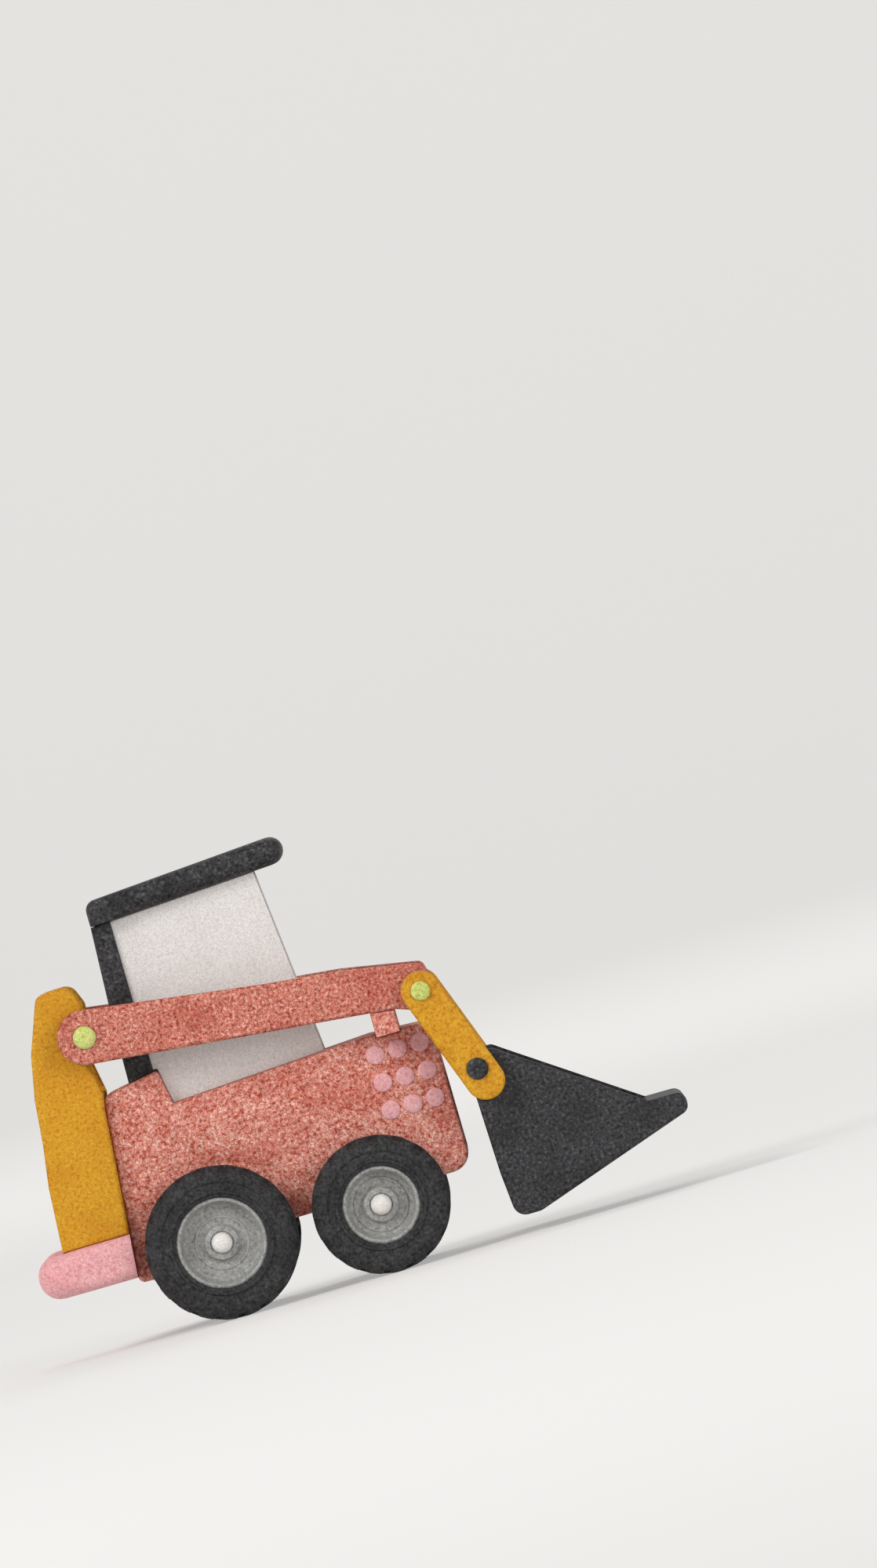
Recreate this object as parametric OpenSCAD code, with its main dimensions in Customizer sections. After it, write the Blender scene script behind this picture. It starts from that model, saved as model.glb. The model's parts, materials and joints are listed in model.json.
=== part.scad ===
// Toy front loader: a moulded push toy with free-rolling wheels, a lift arm, a swinging
// link and a tilting bucket. Lengths are in millimetres. +X is forward, +Y is the toy's
// left side and +Z is up. Side outlines are drawn as [station, height] pairs, where the
// station is the distance ahead of the rear axle.

/* [Wheels] */
// Diameter of the rear tyres
rear_wheel_d = 70; // [68:1:71]
// Diameter of the front tyres
front_wheel_d = 63; // [60:1:64]
// Distance between the two axles
wheelbase = 74; // [72:1:76]
// Width of each tyre
tyre_w = 23.5; // [20:0.5:24]
// Distance from the centre line to the inner face of a tyre
tyre_in = 42.5; // [42.5:0.5:44]
// Diameter of the steel axle rods
axle_d = 4; // [3:0.5:4]

/* [Body] */
// Width of the body shell
body_w = 80; // [78:1:82]
// Wall thickness of the body shell
wall = 3; // [2.5:0.5:3]
// Height of the flat underside above the floor
belly_z = 36; // [36:1:37]
// Width of the cab between the outer faces of its side windows
cab_w = 66; // [60:1:68]
// Width of the roof
roof_w = 80; // [72:1:84]

/* [Loader] */
// Distance from the centre line to the inner face of a lift arm
arm_in = 46; // [46:0.5:47]
// Thickness of a lift arm
arm_t = 11; // [9:0.5:11]
// Thickness of a bucket link
link_t = 6; // [5:0.5:6]
// Gap left beside each moving face
side_gap = 1; // [0.5:0.25:1]
// Width of the bucket
bucket_w = 114; // [108:1:114]
// Wall thickness of the bucket
bucket_wall = 4; // [3:0.5:4]

/* [Fits] */
// Radial clearance of a pin or rod that turns in a hole
running = 0.05; // [0.03:0.01:0.08]
// Gap between the lowered arms and their rests
rest_gap = 0.25; // [0.2:0.05:0.4]

/* [Hidden] */
$fn = 64;
arc_steps = 6;

// Colours
coral = [0.80, 0.51, 0.45];
ochre = [0.80, 0.58, 0.08];
rose = [0.87, 0.65, 0.67];
charcoal = [0.25, 0.24, 0.26];
pale = [0.86, 0.84, 0.82];
grey = [0.56, 0.56, 0.55];
lime = [0.75, 0.78, 0.42];
steel = [0.70, 0.71, 0.73];

// Stations of the two ends, and the station at the middle of the overall length
tail_u = -85;
lip_u = 220;
datum = (tail_u + lip_u) / 2;

// Station of the body's front face
nose_u = 118.7;

// Axles and pivots as [station, height]
rear_axle = [0, rear_wheel_d / 2];
front_axle = [wheelbase, front_wheel_d / 2];
arm_pivot = [-34, 141.5];
link_pivot = [118, 119.5];
bucket_pivot = [133, 78.5];
link_foot = [135, 72.5];

// Radii
axle_r = axle_d / 2;
arm_pin_r = 3.5;
small_pin_r = 3;
arm_end_r = 12.5;
link_r = 9;
ear_r = 8;
bush_r = 3.5;
bush_flange_r = 5;
screw_r = 1.4;
screw_clear_r = 1.7;
screw_head_r = 2.8;
screw_head_h = 2;
post_r = 4;
stud_r = 4.4;
cap_r = 4.7;

// Distances from the centre line
body_half = body_w / 2;
cavity_half = body_half - wall;
base_half = cavity_half - 0.1;
tower_out = 45;
tower_in = 35;
bumper_half = 50;
cab_half = cab_w / 2;
window_t = 2.5;
pillar_in = 27;
pillar_out = 35;
arm_out = arm_in + arm_t;
link_in = arm_out + side_gap;
link_out = link_in + link_t;
bucket_half = bucket_w / 2;

plate_t = 3;
bumper_top = 50;
bumper_low = 30;
hood_top = 117;

// Straight edges that two pieces share
function edge_u(a, b, z) = a[0] + (b[0] - a[0]) * (z - a[1]) / (b[1] - a[1]);
function edge_z(a, b, u) = a[1] + (b[1] - a[1]) * (u - a[0]) / (b[0] - a[0]);
tail_foot = [-41.5, 27];
tail_head = [-34, 113];
deck_end = [-7, 118];
sill_start = [-4, 101.5];
sill_end = [90, 106.5];
roof_rear = [-18, 188.3];
roof_front = [75.5, 193.2];
function tail_u_at(z) = edge_u(tail_foot, tail_head, z);
function deck_z(u) = edge_z(tail_head, deck_end, u);
function sill_z(u) = edge_z(sill_start, sill_end, u);
function roof_z(u) = edge_z(roof_rear, roof_front, u);

// Underside of the lift arm over its rest
arm_low_rear = [50, 120.2];
arm_low_front = [104, 114.8];
function arm_low_z(u) = edge_z(arm_low_rear, arm_low_front, u);

// Vents, in three columns and three rows
vent_stations = [90, 100.5, 111];
vent_heights = [71, 84, 97];

// Screw places
base_screw_stations = [-22, 37, 96];
base_screw_y = 26;
bumper_screw_stations = [-62, -50];
bumper_screw_y = 40;
bumper_screw_top = 64;
wall_screw_y = 22;
wall_screw_z = 45;
wall_screw_depth = 12;

// Points along an arc, from angle a0 to angle a1
function arc(centre, r, a0, a1, steps) =
    [for (i = [0 : steps])
        let (angle = a0 + (a1 - a0) * i / steps) centre + r * [cos(angle), sin(angle)]];

// An outline with an arc at each corner, from corners given as [x, y] or [x, y, radius]
function xy(p) = [p[0], p[1]];
function radius(p) = len(p) > 2 ? p[2] : 0;
function corner_arc(a, b, c, r) =
    r == 0 ? [b] :
    let (to_a = (a - b) / norm(a - b),
         to_c = (c - b) / norm(c - b),
         half = acos(to_a * to_c) / 2,
         middle = (to_a + to_c) / norm(to_a + to_c),
         centre = b + middle * r / sin(half),
         first = b + to_a * r / tan(half) - centre,
         last = b + to_c * r / tan(half) - centre,
         start = atan2(first[1], first[0]),
         sweep = atan2(first[0] * last[1] - first[1] * last[0], first * last))
    arc(centre, r, start, start + sweep, arc_steps);
function outline(p) =
    let (n = len(p))
    [for (i = [0 : n - 1])
        each corner_arc(xy(p[(i + n - 1) % n]), xy(p[i]), xy(p[(i + 1) % n]), radius(p[i]))];

// A side outline extruded across the toy from y0 to y1
module slab(y0, y1)
    translate([-datum, y1, 0]) rotate([90, 0, 0]) linear_extrude(y1 - y0) children();

// Direction of the line from a to b, in degrees
function heading(a, b) = atan2(b[1] - a[1], b[0] - a[0]);

// A straight bar between two pivots, with round ends of radius r
module strap(a, b, r, y0, y1)
    slab(y0, y1) polygon(concat(
        arc(a, r, heading(a, b) + 90, heading(a, b) + 270, 3 * arc_steps),
        arc(b, r, heading(a, b) - 90, heading(a, b) + 90, 3 * arc_steps)));

// A round rod across the toy, at place = [station, height]
module cross_rod(place, r, y0, y1)
    translate([place[0] - datum, y0, place[1]]) rotate([-90, 0, 0]) cylinder(r = r, h = y1 - y0);

// A turned piece on a cross axis, from a [radius, distance outward] outline
module turned(place, y0, points)
    translate([place[0] - datum, y0, place[1]]) rotate([-90, 0, 0])
        rotate_extrude() polygon(points);

module post(u, y, r, z0, z1) translate([u - datum, y, z0]) cylinder(r = r, h = z1 - z0);

// The space under and over a plan with corners of radius rear_r and front_r
module plan(rear_u, front_u, half, rear_r, front_r)
    translate([-datum, 0, 0]) linear_extrude(250) polygon(outline([
        [rear_u, half, rear_r], [rear_u, -half, rear_r],
        [front_u, -half, front_r], [front_u, half, front_r]]));

module both_sides() {
    children();
    mirror([0, 1, 0]) children();
}

module on_left() children();
module on_right() mirror([0, 1, 0]) children();

// --- Body ---------------------------------------------------------------------------------

body_outline = [
    [tail_foot[0], tail_foot[1], 3], [tail_head[0], tail_head[1], 4], [deck_end[0], deck_end[1], 2],
    sill_start, sill_end, [114.5, 105.2, 4], [nose_u, 95, 8],
    [nose_u, belly_z, 9], [-27, belly_z, 3], [-31, tail_foot[1], 3]];

body_cavity = [
    [tail_u_at(20) + wall, 20], [tail_u_at(110) + wall, 110, 2],
    [deck_end[0] - wall, deck_z(deck_end[0] - wall) - wall, 1],
    [sill_start[0] - wall, sill_z(sill_start[0]) - wall],
    [sill_end[0] - 1, sill_z(sill_end[0] - 1) - wall], [112.5, 102.3, 3],
    [nose_u - wall, 94.4, 5], [nose_u - wall, belly_z + wall, 6], [109, belly_z + wall], [109, 20]];

module arm_rest()
    slab(cavity_half - 5, arm_out - 1) polygon([
        [93, 104.5], [93, arm_low_z(93) - rest_gap], [104, arm_low_z(104) - rest_gap], [104, 104.5]]);

module screw_posts(r, z0)
    both_sides() for (u = base_screw_stations)
        post(u, base_screw_y, r, z0, (u < 0 ? deck_z(u) : sill_z(u)) - wall / 2);

module body_shell() color(coral) difference() {
    union() {
        difference() {
            slab(-body_half, body_half) polygon(outline(body_outline));
            slab(-cavity_half, cavity_half) polygon(outline(body_cavity));
        }
        screw_posts(post_r, belly_z + plate_t);
        both_sides() arm_rest();
    }
    both_sides() {
        for (u = base_screw_stations) post(u, base_screw_y, screw_r, belly_z, belly_z + 18);
        for (u = vent_stations, z = vent_heights)
            cross_rod([u, z], stud_r, cavity_half - 1, body_half + 1);
        cross_rod(rear_axle, bush_flange_r + 0.6, cavity_half - 1, body_half + 1);
        cross_rod(front_axle, bush_flange_r + 0.6, cavity_half - 1, body_half + 1);
        wall_screw_shank(screw_clear_r);
    }
}

// --- Base plate, a flat floor with a solid beam round each axle ---------------------------

module base_plate() color(charcoal) difference() {
    union() {
        slab(-base_half, base_half) polygon([
            [-36.5, belly_z], [-36.5, belly_z + plate_t],
            [108.8, belly_z + plate_t], [108.8, belly_z]]);
        for (axle = [rear_axle, front_axle])
            slab(-base_half, base_half) polygon(outline([
                [axle[0] - 8, axle[1] - 8, 2], [axle[0] - 8, axle[1] + 8, 1],
                [axle[0] + 8, axle[1] + 8, 1], [axle[0] + 8, axle[1] - 8, 2]]));
    }
    for (axle = [rear_axle, front_axle]) {
        cross_rod(axle, axle_r + 0.8, -base_half - 1, base_half + 1);
        both_sides() cross_rod(axle, bush_r, base_half - 9, base_half + 1);
    }
    both_sides() for (u = base_screw_stations) {
        post(u, base_screw_y, screw_clear_r, belly_z - 1, belly_z + plate_t + 1);
        post(u, base_screw_y, screw_head_r + 0.2, belly_z - 1, belly_z + 1.8);
    }
}

module base_plate_screws() color(steel) both_sides() for (u = base_screw_stations) {
    post(u, base_screw_y, screw_head_r, belly_z + 0.2, belly_z + 1.8);
    post(u, base_screw_y, screw_r, belly_z + 1.8, belly_z + 17);
}

module bush(axle) color(pale) difference() {
    union() {
        cross_rod(axle, bush_r, base_half - 9, base_half);
        cross_rod(axle, bush_flange_r, base_half, tyre_in - 1.5);
    }
    cross_rod(axle, axle_r + running, base_half - 10, tyre_in);
}

// --- Rear tower, bumper and their screws --------------------------------------------------

tower_outline = [
    [-71, bumper_top], [-69, 80], [-66, 100], [-64, 120], [-60, 140], [-50.5, 165.5, 5],
    [-35.5, 166, 6], [-31.5, 156, 6], [-35.5, 128], [-33.2, tail_head[1] + 1.5],
    [tail_u_at(108), 108], [tail_u_at(bumper_top), bumper_top]];

hood_outline = [
    [-71, bumper_top], [-69, 80], [-66, 100], [-64.3, hood_top, 3],
    [tail_u_at(108), hood_top - 2], [tail_u_at(108), 108], [tail_u_at(bumper_top), bumper_top]];

hood_cavity = [
    [-67.6, bumper_top + wall], [-65.8, 80], [-62.8, 100], [-61.4, hood_top - 4.5],
    [tail_u_at(bumper_top) + 9, hood_top - 5], [tail_u_at(bumper_top) + 9, bumper_top + wall]];

louvre_heights = [66 : 8 : 98];

module louvres() for (z = louvre_heights)
    translate([-75 - datum, -24, z]) cube([20, 48, 3]);

module rear_tower() color(ochre) difference() {
    union() {
        both_sides() {
            slab(tower_in, tower_out) polygon(outline(tower_outline));
            cross_rod(arm_pivot, 10, tower_in, tower_out);
        }
        difference() {
            slab(-tower_in, tower_in) polygon(outline(hood_outline));
            slab(-tower_in + wall, tower_in - wall) polygon(hood_cavity);
        }
    }
    louvres();
    both_sides() {
        cross_rod(arm_pivot, arm_pin_r, tower_in - 1, tower_out + 1);
        for (u = bumper_screw_stations)
            post(u, bumper_screw_y, screw_r, bumper_top - 1, bumper_screw_top);
    }
}

bumper_outline = [
    [tail_u_at(bumper_low), bumper_low], [tail_u, bumper_low, 9.5], [tail_u, bumper_top, 9.5],
    [tail_u_at(bumper_top), bumper_top]];

module rear_bumper() color(rose) difference() {
    intersection() {
        slab(-bumper_half, bumper_half) polygon(outline(bumper_outline));
        plan(tail_u, rear_axle[0], bumper_half, 11, 0);
    }
    both_sides() {
        for (u = bumper_screw_stations) {
            post(u, bumper_screw_y, screw_clear_r, bumper_low - 1, bumper_top + 1);
            post(u, bumper_screw_y, screw_head_r + 0.2, bumper_low - 1, bumper_low + 4);
        }
        wall_screw_shank(screw_r);
    }
}

module bumper_screws() color(steel) both_sides() for (u = bumper_screw_stations) {
    post(u, bumper_screw_y, screw_head_r, bumper_low + 4 - screw_head_h, bumper_low + 4);
    post(u, bumper_screw_y, screw_r, bumper_low + 4, bumper_screw_top - 1);
}

wall_screw_u = tail_u_at(wall_screw_z + screw_head_r) + wall + 0.1;

module wall_screw_shank(r)
    translate([wall_screw_u - datum - wall_screw_depth, wall_screw_y, wall_screw_z])
        rotate([0, 90, 0]) cylinder(r = r, h = wall_screw_depth);

module rear_wall_screws() color(steel) both_sides() {
    wall_screw_shank(screw_r);
    translate([wall_screw_u - datum, wall_screw_y, wall_screw_z])
        rotate([0, 90, 0]) cylinder(r = screw_head_r, h = screw_head_h);
}

// --- Cab ----------------------------------------------------------------------------------

tenon_r = 2.5;
tenon_top = 195;
pillar_mid = [-13.5, (pillar_in + pillar_out) / 2];

module cab_roof() color(charcoal) difference() {
    intersection() {
        slab(-roof_w / 2, roof_w / 2) polygon(outline([
            roof_rear, [roof_rear[0], 200, 4.5], [roof_front[0], 206, 6.2],
            [roof_front[0], roof_front[1], 6.2]]));
        plan(roof_rear[0], roof_front[0], roof_w / 2, 6, 10);
    }
    both_sides() post(pillar_mid[0], pillar_mid[1], tenon_r, 180, tenon_top);
}

module cab_rear_frame() color(charcoal) union() {
    both_sides() {
        slab(pillar_in, pillar_out) polygon([
            [-21, deck_z(-21)], [-20.5, 140], [-18, roof_z(-18)], [-9, roof_z(-9)],
            [-9, deck_z(-9)]]);
        post(pillar_mid[0], pillar_mid[1], tenon_r, roof_z(-18) - 5, tenon_top - 0.5);
    }
    slab(-pillar_in, pillar_in) polygon([
        [-17, deck_z(-17)], [-17, 125], [-11, 125], [-11, deck_z(-11)]]);
    slab(-pillar_in, pillar_in) polygon([
        [-17, 181], [-17, roof_z(-17)], [-11, roof_z(-11)], [-11, 181]]);
}

module cab_rear_window() color(pale) slab(-pillar_in, pillar_in) polygon([
    [-15.2, 125], [-15.2, 181], [-12.8, 181], [-12.8, 125]]);

module cab_window() color(pale) slab(cab_half - window_t, cab_half) polygon([
    [sill_start[0] + 0.1, sill_z(sill_start[0] + 0.1)], [deck_end[0] + 0.1, deck_end[1] + 0.4],
    [-9, deck_end[1] + 0.4], [-9, roof_z(-9)], [60, roof_z(60)], [68.5, sill_z(68.5)]]);

// Seat with its side consoles and two fixed hand levers, moulded in one piece
module driver_seat() color(charcoal) union() {
    slab(-15, 15) polygon(outline([
        [6, sill_z(6)], [1, 150, 3], [8, 151, 3], [14, 122, 3], [40, 123, 4], [43, sill_z(43)]]));
    slab(-24, 24) polygon([[18, sill_z(18)], [18, 108], [46, 108], [46, sill_z(46)]]);
    both_sides() {
        slab(17, 24) polygon(outline([
            [20, 106], [19, 128, 2], [46, 126, 2], [46, 106]]));
        post(40, 20.5, 1.6, 120, 138);
        translate([40 - datum, 20.5, 139]) sphere(r = 3);
    }
}

// Plate behind the body side, with nine studs that fill the vent holes
module vent_insert() color(rose) union() {
    slab(cavity_half - 2.5, cavity_half) polygon([
        [84.5, 65.5], [84.5, 102], [112.2, 102], [115.2, 94.6], [115.2, 65.5]]);
    for (u = vent_stations, z = vent_heights)
        cross_rod([u, z], stud_r, cavity_half - 0.5, body_half + 0.8);
}

// --- Wheels -------------------------------------------------------------------------------

rear_rim_r = 20.5;
front_rim_r = 17.5;
hub_end = tyre_w - 5.5;
rod_end = tyre_in + hub_end - 4;

module axle_rod(axle) color(steel) cross_rod(axle, axle_r, -rod_end, rod_end);

module rim(axle, r) color(grey) turned(axle, tyre_in, outline([
    [axle_r, -1.2], [6, -1.2], [6, 8.5], [r - 3, 8.5], [r - 3, 2], [r, 2], [r, tyre_w - 2],
    [r - 1.5, tyre_w - 2, 0.7], [r - 4, tyre_w - 8.5, 2], [9.5, tyre_w - 9, 1],
    [7.5, hub_end, 1], [axle_r, hub_end]]));

module tyre(axle, r, rim_r) color(charcoal) turned(axle, tyre_in, outline([
    [rim_r, 2], [rim_r + 1, 1], [r - 7, 0, 6], [r, 4, 4], [r, tyre_w - 4, 4],
    [r - 7, tyre_w, 6], [rim_r + 1, tyre_w - 1], [rim_r, tyre_w - 2]]));

module hub_cap(axle) color(pale) turned(axle, tyre_in, concat(
    [[0, hub_end - 4], [axle_r, hub_end - 4], [axle_r, hub_end], [cap_r, hub_end]],
    [for (angle = [0 : 15 : 90]) [cap_r * cos(angle), hub_end + 1.5 + 2.8 * sin(angle)]]));

// --- Loader -------------------------------------------------------------------------------

arm_top = [50, 142.2];
arm_crown = [85, 138.4];

// The angle at which an edge from p touches the round rear end of the arm
function touch(p, side) =
    heading(arm_pivot, p) + side * acos(arm_end_r / norm(p - arm_pivot));

arm_outline = concat(
    [arm_top, arm_crown, [122, 131.6, 3.5], [125.5, 119, 7], [118, 110.2, 5],
     arm_low_front, arm_low_rear],
    arc(arm_pivot, arm_end_r, touch(arm_low_rear, -1), touch(arm_top, 1) - 360, 4 * arc_steps));
arm_tube = [104, 124.5];
arm_tube_r = 5;
tenon_depth = 7;
link_tube = (link_pivot + link_foot) / 2;
link_tube_r = 3.5;
link_tenon_r = 2.5;
pin_head_end = link_out + 2;

module lift_arm() color(coral) difference() {
    slab(arm_in, arm_out) polygon(outline(arm_outline));
    cross_rod(arm_pivot, arm_pin_r + running, arm_in - 1, arm_out + 1);
    cross_rod(link_pivot, small_pin_r, arm_in - 1, arm_out + 1);
    cross_rod(arm_tube, small_pin_r, arm_in - 1, arm_in + tenon_depth);
}

module arm_cross_tube() color(charcoal) union() {
    cross_rod(arm_tube, arm_tube_r, -arm_in, arm_in);
    cross_rod(arm_tube, small_pin_r, -arm_in - tenon_depth, arm_in + tenon_depth);
}

// A pin's round shank from y0 to y1, with a domed head that ends at y2
module headed_pin(place, shank_r, head_r, y0, y1, y2) turned(place, y0, concat(
    [[0, 0], [shank_r, 0], [shank_r, y1 - y0], [head_r, y1 - y0]],
    [for (angle = [0 : 15 : 90])
        [head_r * cos(angle), y1 - y0 + 0.6 + (y2 - y1 - 0.6) * sin(angle)]]));

module arm_pivot_pin() color(lime)
    headed_pin(arm_pivot, arm_pin_r, 5.2, tower_in, arm_out + 0.4, arm_out + 3.4);

module arm_washer() color(charcoal) difference() {
    cross_rod(arm_pivot, 7.5, tower_out, arm_in - 0.3);
    cross_rod(arm_pivot, arm_pin_r, tower_out - 1, arm_in);
}

module link_pin() color(lime)
    headed_pin(link_pivot, small_pin_r, 4.4, arm_in, link_out + 0.3, pin_head_end);

module bucket_link() color(ochre) difference() {
    strap(link_pivot, link_foot, link_r, link_in, link_out);
    cross_rod(link_pivot, small_pin_r + running, link_in - 1, link_out + 1);
    cross_rod(bucket_pivot, small_pin_r, link_in - 1, link_out + 1);
    cross_rod(link_tube, link_tenon_r, link_in - 1, link_in + link_t / 2);
}

module link_cross_tube() color(charcoal) union() {
    cross_rod(link_tube, link_tube_r, -link_in, link_in);
    cross_rod(link_tube, link_tenon_r, -link_in - link_t / 2, link_in + link_t / 2);
}

module bucket_pin() color(charcoal)
    headed_pin(bucket_pivot, small_pin_r, 5, bucket_half - 8, link_out, pin_head_end);

bucket_back = 128.3;
bucket_outline = [
    [bucket_back, 84, 5], [bucket_back + 1.4, 30], [131.5, 8.5, 6], [143, 8.5, 8],
    [lip_u, 33.9, 4.4],
    [lip_u, 42.9, 4.4], [203, 43, 3], [150, 80, 8], [141.5, 86, 4]];

bucket_cavity = [
    [bucket_back + bucket_wall, 110], [bucket_back + 1.4 + bucket_wall, 30], [135.2, 12.6, 4],
    [142.5, 12.6, 7],
    [184, 26.4, 8], [203, 43.2], [210, 110]];

module bucket() color(charcoal) difference() {
    union() {
        difference() {
            slab(-bucket_half, bucket_half) polygon(outline(bucket_outline));
            slab(-bucket_half + bucket_wall, bucket_half - bucket_wall)
                polygon(outline(bucket_cavity));
        }
        both_sides() cross_rod(bucket_pivot, ear_r, bucket_half - 8, bucket_half);
    }
    both_sides() cross_rod(bucket_pivot, small_pin_r + running, bucket_half - 9, bucket_half + 1);
}

// --- Nodes --------------------------------------------------------------------------------

body_shell();
base_plate();
rear_tower();
rear_bumper();
cab_roof();
cab_rear_frame();
on_left() cab_window();  // cab_window_left
on_right() cab_window();  // cab_window_right
cab_rear_window();
driver_seat();
on_left() vent_insert();  // vent_insert_left
on_right() vent_insert();  // vent_insert_right
base_plate_screws();
bumper_screws();
rear_wall_screws();
on_left() bush(rear_axle);  // rear_bush_left
on_right() bush(rear_axle);  // rear_bush_right
on_left() bush(front_axle);  // front_bush_left
on_right() bush(front_axle);  // front_bush_right
on_left() arm_pivot_pin();  // arm_pivot_pin_left
on_right() arm_pivot_pin();  // arm_pivot_pin_right
on_left() arm_washer();  // arm_washer_left
on_right() arm_washer();  // arm_washer_right
axle_rod(rear_axle);  // rear_axle_rod
on_left() rim(rear_axle, rear_rim_r);  // rear_rim_left
on_right() rim(rear_axle, rear_rim_r);  // rear_rim_right
on_left() tyre(rear_axle, rear_wheel_d / 2, rear_rim_r);  // rear_tyre_left
on_right() tyre(rear_axle, rear_wheel_d / 2, rear_rim_r);  // rear_tyre_right
on_left() hub_cap(rear_axle);  // rear_hub_cap_left
on_right() hub_cap(rear_axle);  // rear_hub_cap_right
axle_rod(front_axle);  // front_axle_rod
on_left() rim(front_axle, front_rim_r);  // front_rim_left
on_right() rim(front_axle, front_rim_r);  // front_rim_right
on_left() tyre(front_axle, front_wheel_d / 2, front_rim_r);  // front_tyre_left
on_right() tyre(front_axle, front_wheel_d / 2, front_rim_r);  // front_tyre_right
on_left() hub_cap(front_axle);  // front_hub_cap_left
on_right() hub_cap(front_axle);  // front_hub_cap_right
on_left() lift_arm();  // lift_arm_left
on_right() lift_arm();  // lift_arm_right
arm_cross_tube();
on_left() link_pin();  // link_pin_left
on_right() link_pin();  // link_pin_right
on_left() bucket_link();  // bucket_link_left
on_right() bucket_link();  // bucket_link_right
link_cross_tube();
on_left() bucket_pin();  // bucket_pin_left
on_right() bucket_pin();  // bucket_pin_right
bucket();
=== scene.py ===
import json
import math

import bmesh
import bpy
from mathutils import Matrix, Vector


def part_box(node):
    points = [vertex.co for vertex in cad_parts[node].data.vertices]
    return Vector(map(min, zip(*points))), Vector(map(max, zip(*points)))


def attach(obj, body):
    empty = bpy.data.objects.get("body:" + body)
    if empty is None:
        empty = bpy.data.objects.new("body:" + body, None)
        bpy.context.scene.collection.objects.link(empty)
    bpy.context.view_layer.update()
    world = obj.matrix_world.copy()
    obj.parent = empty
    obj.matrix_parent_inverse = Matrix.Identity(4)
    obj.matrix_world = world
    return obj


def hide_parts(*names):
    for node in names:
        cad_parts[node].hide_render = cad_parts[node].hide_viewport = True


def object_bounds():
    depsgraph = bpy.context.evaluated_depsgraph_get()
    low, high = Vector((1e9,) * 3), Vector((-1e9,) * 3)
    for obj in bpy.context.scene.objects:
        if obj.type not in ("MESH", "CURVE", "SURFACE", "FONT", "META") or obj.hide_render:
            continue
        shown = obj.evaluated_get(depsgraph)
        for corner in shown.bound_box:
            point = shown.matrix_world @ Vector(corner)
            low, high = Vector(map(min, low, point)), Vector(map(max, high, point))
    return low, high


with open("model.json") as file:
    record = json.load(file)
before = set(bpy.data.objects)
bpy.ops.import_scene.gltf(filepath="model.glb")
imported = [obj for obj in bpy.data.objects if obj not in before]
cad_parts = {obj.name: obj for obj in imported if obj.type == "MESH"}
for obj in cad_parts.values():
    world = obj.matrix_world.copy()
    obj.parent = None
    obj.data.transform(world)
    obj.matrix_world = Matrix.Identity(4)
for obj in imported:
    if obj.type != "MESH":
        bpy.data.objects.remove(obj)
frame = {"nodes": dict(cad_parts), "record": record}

CAD_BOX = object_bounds()
MM = 0.001
NODES = frame["nodes"]

# --- Camera -------------------------------------------------------------------------------
# The photograph shows the toy square on from its right side, tilted nose-up, low and to the
# left of the frame, with almost no perspective.
LENS = 400.0
SENSOR = 36.0
TILT = math.radians(16.2)
# How much of the toy's near side the frame's height shows, where that side is, and its point at
# the middle of the frame, in metres
FRAME_HEIGHT = 0.710
NEAR_SIDE = CAD_BOX[0].y + 0.006
AXIS_X = 0.0845
AXIS_Z = 0.2071
# Beyond the far wall
FAR_CLIP = 50


def make_camera():
    """The photograph's view: a long lens, square on to the side and turned by the tilt."""
    data = bpy.data.cameras.new("camera")
    data.lens = LENS
    data.sensor_width = SENSOR
    camera = bpy.data.objects.new("camera", data)
    bpy.context.scene.collection.objects.link(camera)
    distance = FRAME_HEIGHT * LENS / SENSOR
    camera.matrix_world = (
        Matrix.Translation((AXIS_X, NEAR_SIDE - distance, AXIS_Z))
        @ Matrix.Rotation(math.radians(90), 4, "X")
        @ Matrix.Rotation(-TILT, 4, "Z")
    )
    data.clip_end = FAR_CLIP
    bpy.context.scene.camera = camera


# --- Materials ----------------------------------------------------------------------------
# Fleck, grain and patch noise: how many cells go on one fleck's width, and how detailed it is
FLECK_NOISE = (0.6, 2.5)
GRAIN_NOISE = (1.9, 1.0)
PATCH_NOISE = (0.055, 3.0)
# The noise values at which each of them goes from dark to light
FLECK_STEPS = (0.34, 0.47, 0.54, 0.68)
GRAIN_STEPS = (0.36, 0.5, 0.64)
PATCH_STEPS = (0.36, 0.56)
# How far the flecks, grains and patches leave the main colour at a contrast of 1
DARKER = 0.9
LIGHTER = 0.45
GRAIN_RANGE = 0.4
PATCH_TINT = 0.5
PATCH_SHARE = 0.6
# The plastic's surface: one fleck's width, how rough it is and how much that varies, and its
# fine bumps
FLECK = 0.9 * MM
PLASTIC_ROUGH = 0.6
ROUGH_RANGE = 0.1
PLASTIC_BUMP = 0.3
PLASTIC_RELIEF = 0.15 * MM
PLASTIC_SPECULAR = 0.3
WHITE = (1.0,) * 3
# Bare steel: its roughness, its scratches and its faint stains
STEEL_ROUGH = (0.24, 0.46)
SCRATCH_NOISE = (2200.0, 4.0)
SCRATCH_STRETCH = (1.0, 0.08, 1.0)
SCRATCH_BUMP = 0.12
SCRATCH_RELIEF = 0.05 * MM
STAIN_NOISE = (160.0, 3.0)
STAIN_STEPS = (0.35, 0.62)
STAIN_DARKER = 1.3


def shader(name):
    """A new material, its node tree and its Principled shader."""
    material = bpy.data.materials.new(name)
    material.use_nodes = True
    tree = material.node_tree
    return material, tree, tree.nodes["Principled BSDF"]


def add(tree, kind, values=None, links=None):
    """Adds a node, sets its input values by name and links its inputs from sockets."""
    made = tree.nodes.new(kind)
    for key, value in (values or {}).items():
        made.inputs[key].default_value = value
    for key, socket in (links or {}).items():
        tree.links.new(socket, made.inputs[key])
    return made


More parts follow.
